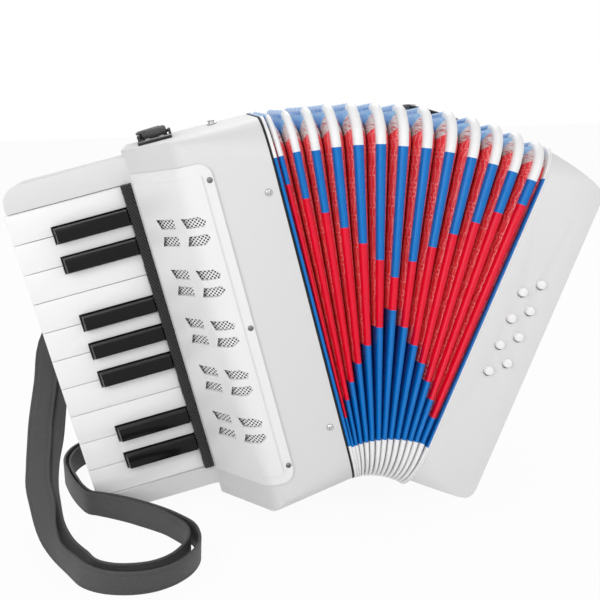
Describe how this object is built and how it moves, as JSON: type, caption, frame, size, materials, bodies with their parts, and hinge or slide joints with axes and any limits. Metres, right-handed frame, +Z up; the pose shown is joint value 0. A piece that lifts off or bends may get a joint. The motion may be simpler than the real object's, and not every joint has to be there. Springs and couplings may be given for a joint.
{
  "type": "toy piano accordion",
  "caption": "Small piano accordion with a short keyboard, pleated bellows standing open like a fan, a bass end with press buttons and a shoulder strap.",
  "frame": {"origin": "middle of the bounding box in X and Y, on the table under the instrument", "axes": "+X from the keyboard end to the bass end, +Y from the front of the instrument to its back, +Z up; the keyboard end leans with its top towards -X"},
  "size_m": [0.4046, 0.2382, 0.2875],
  "materials": {
    "casing": "gloss white shell",
    "cover": "gloss white trim",
    "mesh": "fine bright metal cloth",
    "wood": "plain unvarnished wood",
    "steel": "bright plated steel",
    "felt": "matt felt",
    "gasket": "matt black gasket",
    "paper": "patterned paper on folded card",
    "white_key": "gloss white key caps",
    "black_key": "gloss black key caps",
    "bracket": "black lacquered steel",
    "rib": "gloss edge binding",
    "button": "gloss white push buttons",
    "leather": "charcoal grained imitation leather"
  },
  "bodies": {
    "treble": {"treble_casing": "casing", "treble_back_cover": "casing", "grille_cover": "cover", "grille_mesh": "mesh", "keyboard_bed": "wood", "key_axle": "steel", "key_felt_strip": "felt", "treble_reed_block": "wood", "bellows_gasket": "gasket", "bellows_flange_treble": "cover", "bellows_pleats": "paper", "strap_bracket_upper": "bracket", "strap_bracket_lower": "bracket", "snap_stud": "steel", "shoulder_strap": "leather"},
    "bass": {"bass_casing": "casing", "bass_back_cover": "casing", "bellows_flange_bass": "cover", "bass_reed_block": "wood", "hand_strap": "leather", "closure_strap": "leather"},
    "rib_01": {"bellows_rib_01": "rib"},
    "rib_02": {"bellows_rib_02": "rib"},
    "rib_03": {"bellows_rib_03": "rib"},
    "rib_04": {"bellows_rib_04": "rib"},
    "rib_05": {"bellows_rib_05": "rib"},
    "rib_06": {"bellows_rib_06": "rib"},
    "rib_07": {"bellows_rib_07": "rib"},
    "rib_08": {"bellows_rib_08": "rib"},
    "rib_09": {"bellows_rib_09": "rib"},
    "rib_10": {"bellows_rib_10": "rib"},
    "rib_11": {"bellows_rib_11": "rib"},
    "rib_12": {"bellows_rib_12": "rib"},
    "rib_13": {"bellows_rib_13": "rib"},
    "white_key_01": {"white_key_01": "white_key"},
    "white_key_02": {"white_key_02": "white_key"},
    "white_key_03": {"white_key_03": "white_key"},
    "white_key_04": {"white_key_04": "white_key"},
    "white_key_05": {"white_key_05": "white_key"},
    "white_key_06": {"white_key_06": "white_key"},
    "white_key_07": {"white_key_07": "white_key"},
    "white_key_08": {"white_key_08": "white_key"},
    "white_key_09": {"white_key_09": "white_key"},
    "white_key_10": {"white_key_10": "white_key"},
    "black_key_1": {"black_key_1": "black_key"},
    "black_key_2": {"black_key_2": "black_key"},
    "black_key_3": {"black_key_3": "black_key"},
    "black_key_4": {"black_key_4": "black_key"},
    "black_key_5": {"black_key_5": "black_key"},
    "black_key_6": {"black_key_6": "black_key"},
    "black_key_7": {"black_key_7": "black_key"},
    "bass_button_a1": {"bass_button_a1": "button"},
    "bass_button_a2": {"bass_button_a2": "button"},
    "bass_button_a3": {"bass_button_a3": "button"},
    "bass_button_a4": {"bass_button_a4": "button"},
    "bass_button_b1": {"bass_button_b1": "button"},
    "bass_button_b2": {"bass_button_b2": "button"},
    "bass_button_b3": {"bass_button_b3": "button"},
    "bass_button_b4": {"bass_button_b4": "button"},
    "air_button": {"air_button": "button"}
  },
  "joints": [
    {"name": "bellows_fan", "type": "hinge", "parent": "treble", "child": "bass", "pos_m": [0.03381, 0.02011, 0.05304], "axis": [-0.191, 0.9806, -0.0438], "range_deg": [-39.61, 0], "deforming": ["bellows_pleats", "closure_strap"]},
    {"name": "rib_01_fan", "type": "hinge", "parent": "treble", "child": "rib_01", "pos_m": [0.01575, 0.02011, 0.0278], "axis": [-0.191, 0.9806, -0.0438], "range_deg": [-0.90145, 0]},
    {"name": "rib_02_fan", "type": "hinge", "parent": "treble", "child": "rib_02", "pos_m": [0.01336, 0.02011, 0.04627], "axis": [-0.191, 0.9806, -0.0438], "range_deg": [-3.88, 0]},
    {"name": "rib_03_fan", "type": "hinge", "parent": "treble", "child": "rib_03", "pos_m": [0.01458, 0.02011, 0.049], "axis": [-0.191, 0.9806, -0.0438], "range_deg": [-6.86, 0]},
    {"name": "rib_04_fan", "type": "hinge", "parent": "treble", "child": "rib_04", "pos_m": [0.01614, 0.02011, 0.05025], "axis": [-0.191, 0.9806, -0.0438], "range_deg": [-9.85, 0]},
    {"name": "rib_05_fan", "type": "hinge", "parent": "treble", "child": "rib_05", "pos_m": [0.0178, 0.02011, 0.05105], "axis": [-0.191, 0.9806, -0.0438], "range_deg": [-12.83, 0]},
    {"name": "rib_06_fan", "type": "hinge", "parent": "treble", "child": "rib_06", "pos_m": [0.01952, 0.02011, 0.05162], "axis": [-0.191, 0.9806, -0.0438], "range_deg": [-15.81, 0]},
    {"name": "rib_07_fan", "type": "hinge", "parent": "treble", "child": "rib_07", "pos_m": [0.02126, 0.02011, 0.05206], "axis": [-0.191, 0.9806, -0.0438], "range_deg": [-18.79, 0]},
    {"name": "rib_08_fan", "type": "hinge", "parent": "treble", "child": "rib_08", "pos_m": [0.02303, 0.02011, 0.05242], "axis": [-0.191, 0.9806, -0.0438], "range_deg": [-21.77, 0]},
    {"name": "rib_09_fan", "type": "hinge", "parent": "treble", "child": "rib_09", "pos_m": [0.02481, 0.02011, 0.0527], "axis": [-0.191, 0.9806, -0.0438], "range_deg": [-24.75, 0]},
    {"name": "rib_10_fan", "type": "hinge", "parent": "treble", "child": "rib_10", "pos_m": [0.0266, 0.02011, 0.05294], "axis": [-0.191, 0.9806, -0.0438], "range_deg": [-27.73, 0]},
    {"name": "rib_11_fan", "type": "hinge", "parent": "treble", "child": "rib_11", "pos_m": [0.0284, 0.02011, 0.05312], "axis": [-0.191, 0.9806, -0.0438], "range_deg": [-30.72, 0]},
    {"name": "rib_12_fan", "type": "hinge", "parent": "treble", "child": "rib_12", "pos_m": [0.03022, 0.02011, 0.05326], "axis": [-0.191, 0.9806, -0.0438], "range_deg": [-33.7, 0]},
    {"name": "rib_13_fan", "type": "hinge", "parent": "treble", "child": "rib_13", "pos_m": [0.03204, 0.02011, 0.05336], "axis": [-0.191, 0.9806, -0.0438], "range_deg": [-36.68, 0]},
    {"name": "white_key_01_press", "type": "hinge", "parent": "treble", "child": "white_key_01", "pos_m": [-0.0744, 0.01711, 0.03987], "axis": [0.2236, 0, -0.9747], "range_deg": [0, 2.8], "stiffness_Nm_per_rad": 0.25, "springref_deg": -3.44},
    {"name": "white_key_02_press", "type": "hinge", "parent": "treble", "child": "white_key_02", "pos_m": [-0.07915, 0.01711, 0.06058], "axis": [0.2236, 0, -0.9747], "range_deg": [0, 2.8], "stiffness_Nm_per_rad": 0.25, "springref_deg": -3.44},
    {"name": "white_key_03_press", "type": "hinge", "parent": "treble", "child": "white_key_03", "pos_m": [-0.0839, 0.01711, 0.08129], "axis": [0.2236, 0, -0.9747], "range_deg": [0, 2.8], "stiffness_Nm_per_rad": 0.25, "springref_deg": -3.44},
    {"name": "white_key_04_press", "type": "hinge", "parent": "treble", "child": "white_key_04", "pos_m": [-0.08865, 0.01711, 0.102], "axis": [0.2236, 0, -0.9747], "range_deg": [0, 2.8], "stiffness_Nm_per_rad": 0.25, "springref_deg": -3.44},
    {"name": "white_key_05_press", "type": "hinge", "parent": "treble", "child": "white_key_05", "pos_m": [-0.09341, 0.01711, 0.12272], "axis": [0.2236, 0, -0.9747], "range_deg": [0, 2.8], "stiffness_Nm_per_rad": 0.25, "springref_deg": -3.44},
    {"name": "white_key_06_press", "type": "hinge", "parent": "treble", "child": "white_key_06", "pos_m": [-0.09816, 0.01711, 0.14343], "axis": [0.2236, 0, -0.9747], "range_deg": [0, 2.8], "stiffness_Nm_per_rad": 0.25, "springref_deg": -3.44},
    {"name": "white_key_07_press", "type": "hinge", "parent": "treble", "child": "white_key_07", "pos_m": [-0.10291, 0.01711, 0.16414], "axis": [0.2236, 0, -0.9747], "range_deg": [0, 2.8], "stiffness_Nm_per_rad": 0.25, "springref_deg": -3.44},
    {"name": "white_key_08_press", "type": "hinge", "parent": "treble", "child": "white_key_08", "pos_m": [-0.10766, 0.01711, 0.18485], "axis": [0.2236, 0, -0.9747], "range_deg": [0, 2.8], "stiffness_Nm_per_rad": 0.25, "springref_deg": -3.44},
    {"name": "white_key_09_press", "type": "hinge", "parent": "treble", "child": "white_key_09", "pos_m": [-0.11242, 0.01711, 0.20556], "axis": [0.2236, 0, -0.9747], "range_deg": [0, 2.8], "stiffness_Nm_per_rad": 0.25, "springref_deg": -3.44},
    {"name": "white_key_10_press", "type": "hinge", "parent": "treble", "child": "white_key_10", "pos_m": [-0.11717, 0.01711, 0.22627], "axis": [0.2236, 0, -0.9747], "range_deg": [0, 2.8], "stiffness_Nm_per_rad": 0.25, "springref_deg": -3.44},
    {"name": "black_key_1_press", "type": "hinge", "parent": "treble", "child": "black_key_1", "pos_m": [-0.07677, 0.01711, 0.05022], "axis": [0.2236, 0, -0.9747], "range_deg": [0, 2.8], "stiffness_Nm_per_rad": 0.25, "springref_deg": -3.44},
    {"name": "black_key_2_press", "type": "hinge", "parent": "treble", "child": "black_key_2", "pos_m": [-0.08153, 0.01711, 0.07093], "axis": [0.2236, 0, -0.9747], "range_deg": [0, 2.8], "stiffness_Nm_per_rad": 0.25, "springref_deg": -3.44},
    {"name": "black_key_3_press", "type": "hinge", "parent": "treble", "child": "black_key_3", "pos_m": [-0.09103, 0.01711, 0.11236], "axis": [0.2236, 0, -0.9747], "range_deg": [0, 2.8], "stiffness_Nm_per_rad": 0.25, "springref_deg": -3.44},
    {"name": "black_key_4_press", "type": "hinge", "parent": "treble", "child": "black_key_4", "pos_m": [-0.09578, 0.01711, 0.13307], "axis": [0.2236, 0, -0.9747], "range_deg": [0, 2.8], "stiffness_Nm_per_rad": 0.25, "springref_deg": -3.44},
    {"name": "black_key_5_press", "type": "hinge", "parent": "treble", "child": "black_key_5", "pos_m": [-0.10054, 0.01711, 0.15378], "axis": [0.2236, 0, -0.9747], "range_deg": [0, 2.8], "stiffness_Nm_per_rad": 0.25, "springref_deg": -3.44},
    {"name": "black_key_6_press", "type": "hinge", "parent": "treble", "child": "black_key_6", "pos_m": [-0.11004, 0.01711, 0.19521], "axis": [0.2236, 0, -0.9747], "range_deg": [0, 2.8], "stiffness_Nm_per_rad": 0.25, "springref_deg": -3.44},
    {"name": "black_key_7_press", "type": "hinge", "parent": "treble", "child": "black_key_7", "pos_m": [-0.11479, 0.01711, 0.21592], "axis": [0.2236, 0, -0.9747], "range_deg": [0, 2.8], "stiffness_Nm_per_rad": 0.25, "springref_deg": -3.44},
    {"name": "bass_button_a1_press", "type": "slide", "parent": "bass", "child": "bass_button_a1", "axis": [-0.0151, 0.9912, -0.1316], "range_m": [0, 0.003], "stiffness_N_per_m": 100, "springref_m": -0.001},
    {"name": "bass_button_a2_press", "type": "slide", "parent": "bass", "child": "bass_button_a2", "axis": [-0.0151, 0.9912, -0.1316], "range_m": [0, 0.003], "stiffness_N_per_m": 100, "springref_m": -0.001},
    {"name": "bass_button_a3_press", "type": "slide", "parent": "bass", "child": "bass_button_a3", "axis": [-0.0151, 0.9912, -0.1316], "range_m": [0, 0.003], "stiffness_N_per_m": 100, "springref_m": -0.001},
    {"name": "bass_button_a4_press", "type": "slide", "parent": "bass", "child": "bass_button_a4", "axis": [-0.0151, 0.9912, -0.1316], "range_m": [0, 0.003], "stiffness_N_per_m": 100, "springref_m": -0.001},
    {"name": "bass_button_b1_press", "type": "slide", "parent": "bass", "child": "bass_button_b1", "axis": [-0.0151, 0.9912, -0.1316], "range_m": [0, 0.003], "stiffness_N_per_m": 100, "springref_m": -0.001},
    {"name": "bass_button_b2_press", "type": "slide", "parent": "bass", "child": "bass_button_b2", "axis": [-0.0151, 0.9912, -0.1316], "range_m": [0, 0.003], "stiffness_N_per_m": 100, "springref_m": -0.001},
    {"name": "bass_button_b3_press", "type": "slide", "parent": "bass", "child": "bass_button_b3", "axis": [-0.0151, 0.9912, -0.1316], "range_m": [0, 0.003], "stiffness_N_per_m": 100, "springref_m": -0.001},
    {"name": "bass_button_b4_press", "type": "slide", "parent": "bass", "child": "bass_button_b4", "axis": [-0.0151, 0.9912, -0.1316], "range_m": [0, 0.003], "stiffness_N_per_m": 100, "springref_m": -0.001},
    {"name": "air_button_press", "type": "slide", "parent": "bass", "child": "air_button", "axis": [-0.8993, 0.0441, 0.4351], "range_m": [0, 0.003], "stiffness_N_per_m": 150, "springref_m": -0.001}
  ],
  "couplings": [
    {"joint": "rib_01_fan", "follows": "bellows_fan", "ratio": 0.022722},
    {"joint": "rib_02_fan", "follows": "bellows_fan", "ratio": 0.097955},
    {"joint": "rib_03_fan", "follows": "bellows_fan", "ratio": 0.17319},
    {"joint": "rib_04_fan", "follows": "bellows_fan", "ratio": 0.24842},
    {"joint": "rib_05_fan", "follows": "bellows_fan", "ratio": 0.32366},
    {"joint": "rib_06_fan", "follows": "bellows_fan", "ratio": 0.39889},
    {"joint": "rib_07_fan", "follows": "bellows_fan", "ratio": 0.47412},
    {"joint": "rib_08_fan", "follows": "bellows_fan", "ratio": 0.54936},
    {"joint": "rib_09_fan", "follows": "bellows_fan", "ratio": 0.62459},
    {"joint": "rib_10_fan", "follows": "bellows_fan", "ratio": 0.69982},
    {"joint": "rib_11_fan", "follows": "bellows_fan", "ratio": 0.77506},
    {"joint": "rib_12_fan", "follows": "bellows_fan", "ratio": 0.85029},
    {"joint": "rib_13_fan", "follows": "bellows_fan", "ratio": 0.92552}
  ]
}
